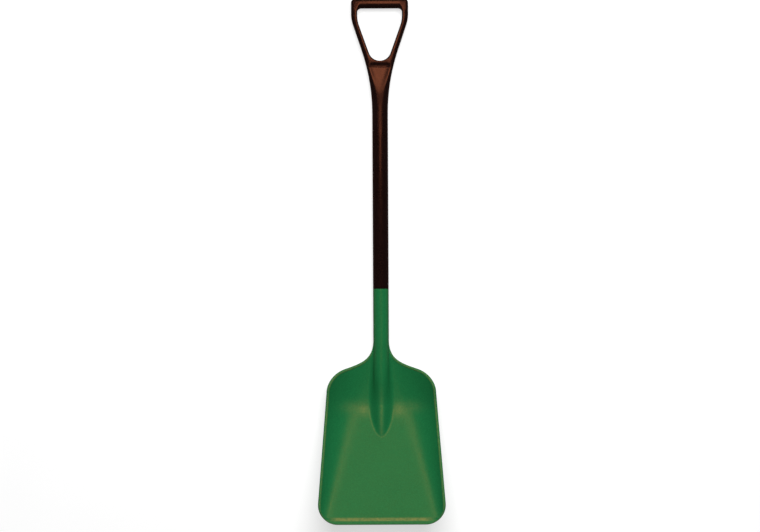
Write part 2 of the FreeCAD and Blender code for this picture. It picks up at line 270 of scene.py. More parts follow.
# Stage, in metres: the floor is a little lower than the ribs' feet, and glows softly
FLOOR_HALF_WIDTH = 9.0
FLOOR_CELLS = 24
FLOOR_DROP = 0.0004
FLOOR_GREYS = (0.39, 0.41)
FLOOR_GLOW = 0.63
FLOOR_GLOSS = 0.2
FLOOR_PAINT_SCALE = 1.5
FLOOR_GRAIN_SCALE = 60
WORLD_STRENGTH = 0.05

# Lights as (name, place, aim, size, power in watts, what it feeds: matt shading or gloss)
LIGHTS = (
    ("ceiling", (0.3, 2.2, 3.9), (0, -0.1, 0), (3.4, 2.4), 250, "matt"),
    ("overhead", (0.1, 0.3, 3.6), (0, 0, 0), (1.6, 1.6), 25, "matt"),
    ("grip_gloss", (0.02, 0.62, 0.34), (0.02, 0.62, 0), (0.16, 0.16), 0.33, "gloss"),
    ("shaft_gloss", (0.02, 0.35, 0.6), (0.02, 0.35, 0), (0.2, 0.2), 0.27, "gloss"),
    ("back_gloss", (0, 2.6, 1.0), (0, 0.6, 0), (1.2, 0.5), 7, "gloss"),
    ("left_gloss", (-0.83, 1.05, 2.13), (0, -0.45, 0), (0.5, 0.5), 1.9, "gloss"),
    ("right_gloss", (0.83, 1.05, 2.13), (0, -0.45, 0), (0.5, 0.5), 1.9, "gloss"),
)

# Camera, in metres: far above the shovel and looking straight down
CAMERA_DISTANCE = 24.0
VIEW_WIDTH = 2.0368
VIEW_HEIGHT = 0.05
VIEW_CENTRE = (-0.0020, -0.0138)
VIEW_ROLL = math.radians(-0.27)
VIEW_END = 100


def smooth(value, low, high):
    """Eased step from 0 at low to 1 at high."""
    share = np.clip((value - low) / (high - low), 0.0, 1.0)
    return share * share * (3 - 2 * share)


def bump(value, middle, width):
    """A soft bump: 1 at the middle, fading away over the width on both sides."""
    return np.exp(-((value - middle) / width) ** 2)


def unit(vectors):
    """The same directions with length 1."""
    return vectors / np.linalg.norm(vectors, axis=-1, keepdims=True)


# ---- mesh helpers

def in_scene(name, data):
    """A new object in the scene that shows the data."""
    thing = bpy.data.objects.new(name, data)
    bpy.context.scene.collection.objects.link(thing)
    return thing


def turned_outwards(mesh):
    """Gives every face of a closed mesh the winding that points out of it."""
    shape = bmesh.new()
    shape.from_mesh(mesh)
    bmesh.ops.recalc_face_normals(shape, faces=shape.faces)
    if shape.calc_volume(signed=True) < 0:
        bmesh.ops.reverse_faces(shape, faces=shape.faces)
    shape.to_mesh(mesh)
    shape.free()


def mesh_piece(name, points, faces, slot, replaced=()):
    """A finished piece: millimetre points become a mesh object that rides on the body."""
    mesh = bpy.data.meshes.new(name)
    mesh.from_pydata((np.asarray(points) * MM).tolist(), [], [list(map(int, f)) for f in faces])
    mesh.validate()
    turned_outwards(mesh)
    mesh.polygons.foreach_set("use_smooth", [True] * len(mesh.polygons))
    piece = in_scene(name, mesh)
    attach(piece, "root")
    if replaced:
        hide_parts(*replaced)
    return piece


def loop_faces(rows, count, wrap=False):
    """Quads between successive closed loops of count points; wrap joins the last to the first."""
    faces = []
    for row in range(rows if wrap else rows - 1):
        here = row * count
        ahead = (row + 1) % rows * count
        for i in range(count):
            j = (i + 1) % count
            faces.append((here + i, here + j, ahead + j, ahead + i))
    return faces


def closed_faces(rows, count, first=0):
    """Quads between successive loops and a cap on either end, numbered from a first point."""
    faces = loop_faces(rows, count)
    faces.append(range(count))
    faces.append(range(rows * count - 1, (rows - 1) * count - 1, -1))
    return [[first + i for i in face] for face in faces]


# ---- scoop pan

def side_half_width(reach):
    """Half the scoop's width along its tapered sides."""
    return BLADE_WIDTH / 2 - SIDE_TAPER * (reach - CORNER_RADIUS)


def floor_height(reach):
    """Underside on the centre line: two straight runs blended at the heel."""
    front = HEEL_BASE + FRONT_SLOPE * (HEEL_REACH - reach)
    back = HEEL_BASE + BACK_SLOPE * (reach - HEEL_REACH)
    return (front + back) / 2 + np.hypot((front - back) / 2, HEEL_ROUNDING)


def crease_offset(reach):
    """Distance from the centre line to the crease between the floor and the wall."""
    return CREASE_AT_HEEL + CREASE_SPREAD * (HEEL_REACH - reach)


def wall_rise(x, reach):
    """Height of the wall above the floor: a rounded crease, then steeper and steeper."""
    crease = crease_offset(reach)
    across = np.maximum(0.0, (np.abs(x) - crease) / (side_half_width(reach) - crease))
    rounded = np.hypot(across, CREASE_ROUNDING) - CREASE_ROUNDING
    full_rounded = math.hypot(1, CREASE_ROUNDING) - CREASE_ROUNDING
    share = CREASE_SHARE * rounded + (1 - CREASE_SHARE) * across ** 3
    full_share = CREASE_SHARE * full_rounded + (1 - CREASE_SHARE)
    along = (reach - CORNER_RADIUS) / (SHOULDER_REACH - CORNER_RADIUS)
    height = WALL_AT_CORNER + (WALL_AT_SHOULDER - WALL_AT_CORNER) * along
    return height * share / full_share


def underside(x, reach):
    """Height of the sheet's lower face."""
    return floor_height(reach) + wall_rise(x, reach)


def sheet_normal(x, reach):
    """Upward unit normals of the underside."""
    step = NORMAL_STEP
    across = (underside(x + step, reach) - underside(x - step, reach)) / (2 * step)
    along = (underside(x, reach + step) - underside(x, reach - step)) / (2 * step)
    length = np.sqrt(across ** 2 + along ** 2 + 1)
    return np.stack([-across / length, -along / length, 1 / length], axis=-1)


def sheet_thickness(reach):
    """The last strip before the front edge is stepped down to a thinner lip."""
    return SHEET - LIP_DROP * smooth(-reach, -LIP_START, -LIP_END)


def bezier(points, count):
    """Points on a cubic Bezier curve, without its last point."""
    a, b, c, d = [np.array(p, float) for p in points]
    t = (np.arange(count) / count)[:, None]
    return a * (1 - t) ** 3 + 3 * b * t * (1 - t) ** 2 + 3 * c * t ** 2 * (1 - t) + d * t ** 3


def flank_and_corner():
    """(half-width, reach) of the edge down the tapered side and round the front corner."""
    start = CORNER_RADIUS * (1 + math.sin(SIDE_TAPER_ANGLE))
    centre = side_half_width(start) - CORNER_RADIUS * math.cos(SIDE_TAPER_ANGLE)
    reaches = np.linspace(SHOULDER_REACH, start, FLANK_STEPS)[:-1]
    flank = np.stack([side_half_width(reaches), reaches], axis=1)
    turn = np.linspace(-SIDE_TAPER_ANGLE, CORNER_END_ANGLE, CORNER_STEPS)
    corner = np.stack([centre + CORNER_RADIUS * np.cos(turn),
                       CORNER_RADIUS * (1 - np.sin(turn))], axis=1)
    return np.concatenate([flank, corner])


def outline_stations():
    """(half-width, reach) of the scoop's edge, from the neck round to the front edge."""
    top = np.array(SHOULDER_TOP)
    heading = np.array([math.cos(SHOULDER_TOP_ANGLE), -math.sin(SHOULDER_TOP_ANGLE)])
    neck = np.array([NECK_HALF_WIDTH, NECK_REACH])
    side = np.array([side_half_width(SHOULDER_REACH), SHOULDER_REACH])
    back = np.array([0.0, 1.0])
    flare = bezier([neck, neck - back * NECK_PULL, top - heading * SHOULDER_INNER_PULL, top],
                   FLARE_STEPS)
    shoulder = bezier([top, top + heading * SHOULDER_OUTER_PULL,
                       side + back * SHOULDER_SIDE_PULL, side], SHOULDER_STEPS)
    return np.concatenate([flare, shoulder, flank_and_corner()])


def inwards(path):
    """Unit directions square to a path in plan, pointing into the scoop."""
    along = unit(np.gradient(path, axis=0))
    return np.stack([along[:, 1], -along[:, 0]], axis=1)


# ---- socket ridge

def ridge(x, height, fillet):
    """Height of the tube's back: round crest, straight flanks, hollow fillets at the foot."""
    if height <= 0:
        return np.zeros_like(x)
    both = HANDLE_RADIUS + fillet
    angle = TUBE_FLANK_ANGLE
    if both * (1 - math.cos(angle)) > height:
        angle = math.acos(1 - height / both)
    straight = (height - both * (1 - math.cos(angle))) / math.sin(angle)
    crest_end = HANDLE_RADIUS * math.sin(angle)
    flank_end = crest_end + straight * math.cos(angle)
    foot = flank_end + fillet * math.sin(angle)
    size = np.abs(x)
    crest = height - HANDLE_RADIUS + np.sqrt(np.maximum(HANDLE_RADIUS ** 2 - size ** 2, 0))
    flank_top = height - HANDLE_RADIUS * (1 - math.cos(angle))
    flank = flank_top - (size - crest_end) * math.tan(angle)
    hollow = fillet - np.sqrt(np.maximum(fillet ** 2 - (foot - size) ** 2, 0))
    return np.select([size < crest_end, size < flank_end, size < foot], [crest, flank, hollow], 0.0)


def foot_fillet(fillet, half_width):
    """A foot fillet's radius, kept within the sheet that is left beside the tube."""
    return min(fillet, max(FILLET_LEAST, FILLET_SHARE * (half_width - HANDLE_RADIUS)))


def crest_height(reach):
    """Top line of the socket: level, a short step down, then a gentle climb to the nose tip."""
    along = np.clip((ROLLOVER_END - reach) / (ROLLOVER_END - NOSE_TIP_REACH), 0, 1)
    nose = NOSE_CREST_HEIGHT + (NOSE_TIP_HEIGHT - NOSE_CREST_HEIGHT) * along
    nose += NOSE_CREST_BULGE * math.sin(math.pi * along)
    tube = AXIS_HEIGHT + HANDLE_RADIUS
    return nose + (tube - nose) * smooth(reach, ROLLOVER_END, ROLLOVER_START)


def nose_half_width(reach):
    """Half-width of the socket's foot on the floor: parallel, then a blunt bullet tip."""
    along = np.clip((NOSE_SHOULDER_REACH - reach) / (NOSE_SHOULDER_REACH - NOSE_TIP_REACH), 0, 1)
    return NOSE_HALF_WIDTH * (1 - along ** 2) ** NOSE_BLUNTNESS


def face_ridge(x, reach, half_width):
    """The socket as it stands above the face of the sheet at one station."""
    sheet_top = underside(0.0, reach) + SHEET / sheet_normal(0.0, reach)[2]
    height = float(crest_height(reach) - sheet_top)
    if height <= 0 or reach < NOSE_TIP_REACH:
        return np.zeros_like(x)
    share = np.minimum(np.abs(x) / nose_half_width(reach), 1.0)
    nose = height * (1 - share ** 2) ** 2
    tube = ridge(x, height, foot_fillet(TUBE_FILLET, half_width))
    return nose + (tube - nose) * float(smooth(reach, *TUBE_END_REACHES))


def belly(x, reach, half_width):
    """The socket as it hangs below the sheet, scarfed up into the floor towards the front."""
    if reach < BELLY_END_REACH:
        return np.zeros_like(x)
    share = max(0.0, (BELLY_START_REACH - reach) / (BELLY_START_REACH - BELLY_END_REACH))
    height = float(floor_height(reach)) - float(floor_height(BELLY_END_REACH)) * share
    return ridge(x, height, foot_fillet(BELLY_FILLET, half_width))


def spread(x, heights):
    """Positions along a section, evenly stepped by length, closer at the socket and the rim."""
    lengths = np.hypot(np.diff(x), np.diff(heights))
    middle = (x[:-1] + x[1:]) / 2
    at_socket = np.exp(-(middle / SOCKET_CLOSE_WIDTH) ** 4)
    at_rim = np.exp((middle - x[-1]) / RIM_CLOSE_WIDTH)
    closeness = 1 + SOCKET_CLOSENESS * at_socket + RIM_CLOSENESS * at_rim
    run = np.concatenate([[0], np.cumsum(lengths * closeness)])
    return np.interp(np.linspace(0, run[-1], COLUMNS + 1), run, x)


def inset_stations(stations):
    """The same stations moved inwards to the middle of the rim bead, but for the neck."""
    share = smooth(-stations[:, 1:2], -NECK_REACH, -SHOULDER_TOP[1])
    return stations + inwards(stations) * RIM_INSET * share


def sheet_points(x, reach):
    """Points on the sheet's lower face at one station."""
    return np.stack([x, np.full_like(x, reach), underside(x, reach)], axis=1)


def pan_section(half_width, reach):
    """Upper and lower points of one pan section, from the centre line out to the rim."""
    fine = np.linspace(0, half_width - RIM_BULGE, SECTION_SAMPLES)
    upper_x = spread(fine, underside(fine, reach) + face_ridge(fine, reach, half_width))
    lower_x = spread(fine, underside(fine, reach) - belly(fine, reach, half_width))
    upper = sheet_points(upper_x, reach) + sheet_normal(upper_x, reach) * sheet_thickness(reach)
    upper[:, 2] += face_ridge(upper_x, reach, half_width)
    lower = sheet_points(lower_x, reach)
    lower[:, 2] -= belly(lower_x, reach, half_width)
    return upper, lower


def rim_points(upper_edge, lower_edge, outward):
    """A flat-cut rim with rounded corners between an upper and a lower edge point."""
    turn = np.linspace(math.pi / 2, -math.pi / 2, RIM_STEPS + 2)[1:-1, None]
    middle = (upper_edge + lower_edge) / 2
    half = (upper_edge - lower_edge) / 2
    outer = np.abs(np.cos(turn)) ** RIM_SQUARENESS
    rise = np.sign(np.sin(turn)) * np.abs(np.sin(turn)) ** RIM_SQUARENESS
    return middle + half * rise + outward * RIM_BULGE * outer


def pan_half_rows():
    """Rows of half-sections: centre of the face, out round the rim, back under to the centre."""
    sections = [pan_section(*station) for station in inset_stations(outline_stations())]
    upper_rims = np.array([upper[-1] for upper, lower in sections])
    lower_rims = np.array([lower[-1] for upper, lower in sections])
    along = unit(np.gradient(upper_rims, axis=0))
    thick = unit(upper_rims - lower_rims)
    rows = []
    for (upper, lower), outward in zip(sections, unit(np.cross(thick, along))):
        rim = rim_points(upper[-1], lower[-1], outward)
        rows.append(np.concatenate([upper, rim, lower[::-1]]))
    return rows


def round_row(radius, reach, like):
    """A half-circle row whose points leave the crest as quickly as those of another row."""
    steps = np.linalg.norm(np.diff(like, axis=0), axis=1)
    run = np.concatenate([[0], np.cumsum(steps)])
    turn = math.pi * run / run[-1]
    return np.stack([radius * np.sin(turn), np.full_like(turn, reach),
                     AXIS_HEIGHT + radius * np.cos(turn)], axis=1)


def socket_half_rows(pan_row):
    """Rows of half-sections of the socket: its bore, its rounded mouth and its tube."""
    rows = [round_row(CORE_BORE, reach, pan_row) for reach in (CORE_BORE_END_REACH, SOCKET_REACH)]
    for turn in np.linspace(0, math.pi / 2, MOUTH_STEPS)[:-1]:
        radius = HANDLE_RADIUS - MOUTH_ROUNDING * (1 - math.sin(turn))
        reach = SOCKET_REACH - MOUTH_ROUNDING * (1 - math.cos(turn))
        rows.append(round_row(radius, reach, pan_row))
    for reach in np.linspace(SOCKET_REACH - MOUTH_ROUNDING, NECK_REACH, TUBE_STEPS)[:-1]:
        rows.append(round_row(HANDLE_RADIUS, reach, pan_row))
    return rows


def scoop():
    """The green moulding: pan, socket with its bore, rounded rim and front edge."""
    pan = pan_half_rows()
    right = np.array(socket_half_rows(pan[0]) + pan)
    left = right[:, ::-1][:, 1:-1] * np.array([-1, 1, 1])
    loops = np.concatenate([right, left], axis=1)
    loops[:, :, 1] += FRONT_Y
    count = loops.shape[1]
    faces = loop_faces(len(loops), count)
    faces.append(range(count))
    return front_edge(loops, faces, right.shape[1])


def rim_bead():
    """A round bead along the scoop's edge, from one side of the neck round to the other."""
    side = outline_stations()
    front = np.linspace(side[-1, 0], 0, FRONT_STEPS)[1:]
    half = np.concatenate([side, np.stack([front, np.zeros_like(front)], axis=1)])
    outline = np.concatenate([half, half[-2::-1] * np.array([-1, 1])])
    at_front = smooth(-outline[:, 1], -CORNER_RADIUS, 0)
    at_neck = smooth(outline[:, 1], SHOULDER_TOP[1], NECK_REACH)
    radius = BEAD_RADIUS + (BEAD_RADIUS_AT_FRONT - BEAD_RADIUS) * np.maximum(at_front, at_neck)
    inward = inwards(outline)
    centre = outline + inward * radius[:, None]
    rows = [bead_ring(*place) for place in zip(centre, inward, radius)]
    return np.concatenate(rows), closed_faces(len(rows), BEAD_SIDES)


def bead_ring(centre, inward, radius):
    """One round section of the bead, level with the middle of the sheet."""
    x, reach = centre
    height = underside(x, reach) + sheet_thickness(reach) / 2 * sheet_normal(x, reach)[2]
    turn = np.linspace(0, 2 * math.pi, BEAD_SIDES, endpoint=False)
    return np.stack([x + inward[0] * radius * np.cos(turn),
                     reach + inward[1] * radius * np.cos(turn) + FRONT_Y,
                     height + radius * np.sin(turn)], axis=1)


def front_edge(loops, faces, half_count):
    """Closes the front with a rounded strip joining the face to the underside."""
    points = loops.reshape(-1, 3)
    count = loops.shape[1]
    base = len(points) - count
    last = loops[-1]
    rim = np.arange(RIM_STEPS)
    extra = []
    columns = []
    for i in range(-COLUMNS, COLUMNS + 1):
        upper = i % count
        lower = (half_count - 1 - i) % count
        if i == COLUMNS:
            between = base + upper + 1 + rim
        elif i == -COLUMNS:
            between = base + upper - 1 - rim
        else:
            between = len(points) + len(extra) + rim
            extra.extend(rim_points(last[upper], last[lower], np.array([0.0, -1.0, 0.0])))
        columns.append([base + upper, *between, base + lower])
    for one, two in zip(columns, columns[1:]):
        for k in range(RIM_STEPS + 1):
            faces.append((one[k], one[k + 1], two[k + 1], two[k]))
    return np.concatenate([points, np.array(extra)]), faces


# ---- ribs under the scoop

def drawn_curve(first, pull, last):
    """Points on a curve from first to last that is drawn towards pull."""
    t = np.linspace(0, 1, RIB_CURVE_STEPS)[:, None]
    return first * (1 - t) ** 2 + pull * 2 * t * (1 - t) + last * t ** 2


def rib_foot_line(x, start, end):
    """(reach, height) points of a rib's lower edge: curved down, level on the ground, curved up."""
    middle = (start + end) / 2 + RIB_FOOT_SHIFT
    flat_start = np.array([middle - RIB_FLAT / 2, 0])
    flat_end = np.array([middle + RIB_FLAT / 2, 0])
    lead = np.array([RIB_FLAT / 4, 0])
    first = np.array([start, float(underside(x, start)) + SHEET / 2])
    last = np.array([end, float(underside(x, end)) + SHEET / 2])
    front = drawn_curve(first, flat_start - lead, flat_start)
    rear = drawn_curve(flat_end, flat_end + lead, last)
    flat = flat_start + (flat_end - flat_start) * np.linspace(0, 1, RIB_FLAT_STEPS)[1:-1, None]
    return np.concatenate([front, flat, rear])


def rib_section(x, reach, low):
    """One section of a rib: flared root, upright sides, rounded foot."""
    high = float(underside(x, reach)) + RIB_EMBED
    room = max(high - low, RIB_LEAST_DEPTH)
    fillet = min(RIB_ROOT_FILLET, RIB_ROOT_SHARE * room)
    foot = min(RIB_FOOT_ROUNDING, RIB_FOOT_SHARE * room)
    turn = np.linspace(0, math.pi / 2, RIB_ROUND_STEPS)
    root = np.stack([RIB_HALF_THICKNESS + fillet * (1 - np.sin(turn)),
                     high - fillet * (1 - np.cos(turn))], axis=1)
    base = np.stack([RIB_HALF_THICKNESS - foot * (1 - np.cos(turn)),
                     low + foot * (1 - np.sin(turn))], axis=1)
    right = np.concatenate([root, base])
    loop = np.concatenate([right, right[::-1] * np.array([-1, 1])])
    return np.stack([x + loop[:, 0], np.full(len(loop), reach + FRONT_Y), loop[:, 1]], axis=1)


def scoop_ribs():
    """Four upright webs that stiffen the floor and carry the scoop on the ground."""
    points = []
    faces = []
    for offset, (start, end) in zip(RIB_OFFSETS, RIB_REACHES):
        for x in (-offset, offset):
            rows = [rib_section(x, reach, low) for reach, low in rib_foot_line(x, start, end)]
            faces.extend(closed_faces(len(rows), len(rows[0]), len(points)))
            points.extend(np.concatenate(rows))
    return np.array(points), faces


# ---- handle sleeve

def shaft_sleeve():
    """The brown tube: outside, rounded ends and bore, turned about the handle's axis."""
    turn = np.linspace(0, math.pi / 2, SLEEVE_EDGE_STEPS)
    low_edge = np.stack([HANDLE_RADIUS - SLEEVE_EDGE * (1 - np.sin(turn)),
                         SOCKET_REACH + SLEEVE_EDGE * (1 - np.cos(turn))], axis=1)
    plain = np.linspace(SOCKET_REACH + SLEEVE_PLAIN_END, SLEEVE_END_REACH - SLEEVE_PLAIN_END,
                        SLEEVE_STEPS)
    outside = np.stack([np.full_like(plain, HANDLE_RADIUS), plain], axis=1)
    high_edge = low_edge[::-1] * np.array([1, -1]) + np.array([0, SOCKET_REACH + SLEEVE_END_REACH])
    bore = np.array([[CORE_BORE, SLEEVE_END_REACH], [CORE_BORE, SOCKET_REACH]])
    radius, reach = np.concatenate([low_edge, outside, high_edge, bore]).T
    spin = np.linspace(0, 2 * math.pi, SLEEVE_SIDES, endpoint=False)
    rows = [np.stack([radius * math.sin(angle), reach + FRONT_Y,
                      AXIS_HEIGHT + radius * math.cos(angle)], axis=1) for angle in spin]
    return np.concatenate(rows), loop_faces(SLEEVE_SIDES, len(radius), wrap=True)


# ---- D-grip

def rounded_path(corners):
    """(half-width, reach) points along straight runs joined by arcs at the inner corners."""
    points = [np.array(corners[0][:2], float)]
    for before, corner, after in zip(corners, corners[1:], corners[2:]):
        here = np.array(corner[:2], float)
        back = unit(np.array(before[:2], float) - here)
        ahead = unit(np.array(after[:2], float) - here)
        half = math.acos(float(np.dot(back, ahead))) / 2
        centre = here + unit(back + ahead) * corner[2] / math.sin(half)
        first = here + back * corner[2] / math.tan(half) - centre
        last = here + ahead * corner[2] / math.tan(half) - centre
        swing = math.pi - 2 * half
        for share in np.linspace(0, 1, ARC_STEPS):
            weights = (math.sin((1 - share) * swing), math.sin(share * swing))
            points.append(centre + (first * weights[0] + last * weights[1]) / math.sin(swing))
    points.append(np.array(corners[-1][:2], float))
    return np.array(points)


def grip_outline():
    """The grip's outer edge: handle, flared arm, corner and the middle of the bar."""
    side = GRIP_WIDTH / 2
    shoulder = ARM_ROOT_REACH + (side - HANDLE_RADIUS) / math.tan(ARM_ANGLE)
    return rounded_path([
        (HANDLE_RADIUS, PLAN_START_REACH),
        (HANDLE_RADIUS, ARM_ROOT_REACH, ARM_FLARE_RADIUS),
        (side, shoulder, ARM_SHOULDER_RADIUS),
        (side, OVERALL_LENGTH, GRIP_CORNER_RADIUS),
        (0, OVERALL_LENGTH),
    ])


def hole_outline():
    """The edge of the hand's opening, from its round bottom to the middle of the bar."""
    side = HOLE_WIDTH / 2
    apex = HOLE_BOTTOM_REACH - HOLE_CROTCH_RADIUS * (1 / math.sin(HOLE_SIDE_ANGLE) - 1)
    shoulder = apex + side / math.tan(HOLE_SIDE_ANGLE)
    path = rounded_path([
        (-side, shoulder),
        (0, apex, HOLE_CROTCH_RADIUS),
        (side, shoulder, HOLE_SHOULDER_RADIUS),
        (side, HOLE_TOP_REACH, HOLE_CORNER_RADIUS),
        (0, HOLE_TOP_REACH),
    ])
    return path[path[:, 0] > -SMALL]


def plan_table(path, width_below):
    """Signed distance in plan to a half outline, negative inside it, on a fine grid."""
    across, reach = np.meshgrid(
        np.arange(0, GRIP_WIDTH / 2 + PLAN_MARGINS[0], PLAN_STEP),
        np.arange(PLAN_START_REACH, OVERALL_LENGTH + PLAN_MARGINS[1], PLAN_STEP), indexing="ij")
    nearest = np.full(across.shape, np.inf)
    for (x, y), (next_x, next_y) in zip(path, path[1:]):
        run_x = next_x - x
        run_y = next_y - y
        length = max(run_x ** 2 + run_y ** 2, TINY)
        share = np.clip(((across - x) * run_x + (reach - y) * run_y) / length, 0, 1)
        away = np.hypot(across - x - share * run_x, reach - y - share * run_y)
        nearest = np.minimum(nearest, away)
    half_width = np.interp(reach, path[:, 1], path[:, 0], left=width_below, right=-1)
    return np.where(across < half_width, -nearest, nearest)


def look_up(table, across, reach):
    """A plan table's value between its grid points."""
    u = np.clip(across / PLAN_STEP, 0, table.shape[0] - TABLE_EDGE)
    v = np.clip((reach - PLAN_START_REACH) / PLAN_STEP, 0, table.shape[1] - TABLE_EDGE)
    i = u.astype(int)
    j = v.astype(int)
    a = u - i
    b = v - j
    near = (1 - a) * table[i, j] + a * table[i + 1, j]
    far = (1 - a) * table[i, j + 1] + a * table[i + 1, j + 1]
    return (1 - b) * near + b * far


def smooth_max(one, two, blend):
    """The larger of two distances, with the crease between them rounded off."""
    gap = np.maximum(blend - np.abs(one - two), 0)
    return np.maximum(one, two) + gap * gap / (4 * blend)


def rounded_edge(plan, depth, rounding):
    """Distance to a slab whose edge, in plan and in depth, is rounded."""
    a = plan + rounding
    b = depth + rounding
    return np.minimum(np.maximum(a, b), 0) + np.hypot(np.maximum(a, 0), np.maximum(b, 0)) - rounding


def grip_half_thickness(reach):
    """Half the grip's thickness: round like the handle, thinner in the arms and the bar."""
    thin = smooth(reach, NECK_START_REACH, NECK_END_REACH)
    dip = CROTCH_DIP * bump(reach, CROTCH_DIP_REACH, CROTCH_DIP_LENGTH)
    return HANDLE_RADIUS + (GRIP_HALF_THICKNESS - HANDLE_RADIUS) * thin - dip


def web_share(reach):
    """How far along the web a point lies: 0 at the hollow's tip, 1 where it ends."""
    return (reach - WEB_TIP_REACH) / WEB_LENGTH


def grip_roundings(across, reach):
    """Edge roundings of the grip: on its outside, and round the hand's opening."""
    at_bar = smooth(reach, *BAR_BLEND)
    on_bar = at_bar * (1 - smooth(across, *BAR_END_BLEND))
    on_arm = np.clip(web_share(reach), 0, 1)
    outer = HANDLE_RADIUS + (ARM_OUTER_ROUNDING - HANDLE_RADIUS) * on_arm
    outer += (BAR_OUTER_ROUNDING - ARM_OUTER_ROUNDING) * at_bar
    inner = ARM_INNER_ROUNDING + (BAR_INNER_ROUNDING - ARM_INNER_ROUNDING) * on_bar
    return np.minimum(outer, grip_half_thickness(reach)), inner


def web_hollow(across, reach):
    """Half-thickness left in the web's hollow: a sinking floor, a ramp and sloping sides."""
    beside = across * WEB_LENGTH - (reach - WEB_TIP_REACH) * WEB_HALF_WIDTH
    beside /= math.hypot(WEB_LENGTH, WEB_HALF_WIDTH)
    floor = HANDLE_RADIUS + (WEB_FLOOR_AT_END - HANDLE_RADIUS) * web_share(reach)
    rise = WEB_FLOOR_AT_END + (reach - WEB_END_REACH) * WEB_RAMP_SLOPE
    flank = smooth_max(0, beside * WEB_SIDE_SLOPE, WEB_SIDE_BLEND)
    return smooth_max(floor, rise, WEB_FLOOR_BLEND) + flank


def grip_field():
    """The D-grip as a distance field over (x, reach, z) points, negative inside it."""
    outer_table = plan_table(grip_outline(), HANDLE_RADIUS)
    hole_table = plan_table(hole_outline(), -1)

    def field(points):
        across = np.abs(points[:, 0])
        reach = points[:, 1]
        depth = np.abs(points[:, 2] - AXIS_HEIGHT)
        above = depth - grip_half_thickness(reach)
        outer_rounding, inner_rounding = grip_roundings(across, reach)
        outer = rounded_edge(look_up(outer_table, across, reach), above, outer_rounding)
        inner = rounded_edge(-look_up(hole_table, across, reach), above, inner_rounding)
        body = smooth_max(outer, inner, ARM_RIDGE_BLEND)
        body = rounded_edge(body, SLEEVE_END_REACH - reach, GRIP_EDGE)
        return smooth_max(body, depth - web_hollow(across, reach), WEB_RIM_BLEND)

    return field


def crossed_edges(values, axis):
    """Grid edges along one axis whose two ends lie on opposite sides of the surface."""
    first = values.take(range(values.shape[axis] - 1), axis)
    second = values.take(range(1, values.shape[axis]), axis)
    return np.argwhere((first < 0) != (second < 0))


def crossing_places(grid, values, edges, axis):
    """Where the surface crosses each grid edge."""
    ahead = edges.copy()
    ahead[:, axis] += 1
    start = values[tuple(edges.T)]
    places = grid[tuple(edges.T)]
    places[:, axis] += start / (start - values[tuple(ahead.T)]) * NET_STEP
    return places


def cells_around(edges, axis):
    """The four cells that share each grid edge, in turning order."""
    cells = []
    for one, two in ((0, 0), (1, 0), (1, 1), (0, 1)):
        cell = edges.copy()
        cell[:, (axis + 1) % 3] -= one
        cell[:, (axis + 2) % 3] -= two
        cells.append(tuple(cell.T))
    return cells


def surface_net(field, low, high):
    """Points and quads of the surface where a field is zero: one point in each crossed cell."""
    axes = [np.arange(a, b, NET_STEP) for a, b in zip(low, high)]
    grid = np.stack(np.meshgrid(*axes, indexing="ij"), axis=-1)
    values = field(grid.reshape(-1, 3)).reshape(grid.shape[:3])
    total = np.zeros(grid.shape)
    hits = np.zeros(values.shape)
    rings = []
    for axis in range(3):
        edges = crossed_edges(values, axis)
        places = crossing_places(grid, values, edges, axis)
        cells = cells_around(edges, axis)
        for cell in cells:
            np.add.at(total, cell, places)
            np.add.at(hits, cell, 1)
        rings.append((cells, values[tuple(edges.T)] < 0))
    used = hits > 0
    number = np.full(values.shape, -1)
    number[used] = np.arange(used.sum())
    faces = []
    for cells, outward in rings:
        quads = np.stack([number[cell] for cell in cells], axis=1)
        quads[~outward] = quads[~outward][:, ::-1]
        faces.append(quads)
    return total[used] / hits[used][:, None], np.concatenate(faces)


def onto_surface(field, points):
    """Moves points near a surface onto it, along the field's slope."""
    for _ in range(SETTLING_ROUNDS):
        slope = np.stack([(field(points + e) - field(points - e)) / (2 * SLOPE_STEP)
                          for e in np.eye(3) * SLOPE_STEP], axis=1)
        steepness = np.maximum((slope ** 2).sum(axis=1), LEAST_STEEPNESS)
        points = points - slope * (field(points) / steepness)[:, None]
    return points


def d_grip():
    """The brown grip: collar, hollowed web, two arms and the bar, as one moulding."""
    field = grip_field()
    side = GRIP_WIDTH / 2 + NET_MARGIN
    thick = HANDLE_RADIUS + NET_MARGIN
    points, faces = surface_net(field, (-side, SLEEVE_END_REACH - NET_MARGIN, AXIS_HEIGHT - thick),
                                (side, OVERALL_LENGTH + NET_MARGIN, AXIS_HEIGHT + thick))
    points = onto_surface(field, points)
    points[:, 1] += FRONT_Y
    return points, faces


# ---- materials

def new_material(name):
    """A node material, with the nodes and links that build it up."""
    material = bpy.data.materials.new(name)
    material.use_nodes = True
    return material, material.node_tree.nodes, material.node_tree.links


def noise(nodes, links, scale, detail, roughness=0.5, stretch=(1, 1, 1)):
    """Noise over the object's own coordinates, in features per metre."""
    place = nodes.new("ShaderNodeTexCoord")
    mapping = nodes.new("ShaderNodeMapping")
    mapping.inputs["Scale"].default_value = stretch
    links.new(place.outputs["Object"], mapping.inputs["Vector"])
    texture = nodes.new("ShaderNodeTexNoise")
    texture.inputs["Scale"].default_value = scale
    texture.inputs["Detail"].default_value = detail
    texture.inputs["Roughness"].default_value = roughness
    links.new(mapping.outputs["Vector"], texture.inputs["Vector"])
    return texture.outputs["Fac"]


def ramp(nodes, links, source, stops):
    """A colour ramp over a 0 to 1 source; stops are (position, colour) pairs."""
    node = nodes.new("ShaderNodeValToRGB")
    while len(node.color_ramp.elements) < len(stops):
        node.color_ramp.elements.new(0.5)
    for element, (position, colour) in zip(node.color_ramp.elements, stops):
        element.position = position
        element.color = (*colour, 1)
    links.new(source, node.inputs["Fac"])
    return node.outputs["Color"]


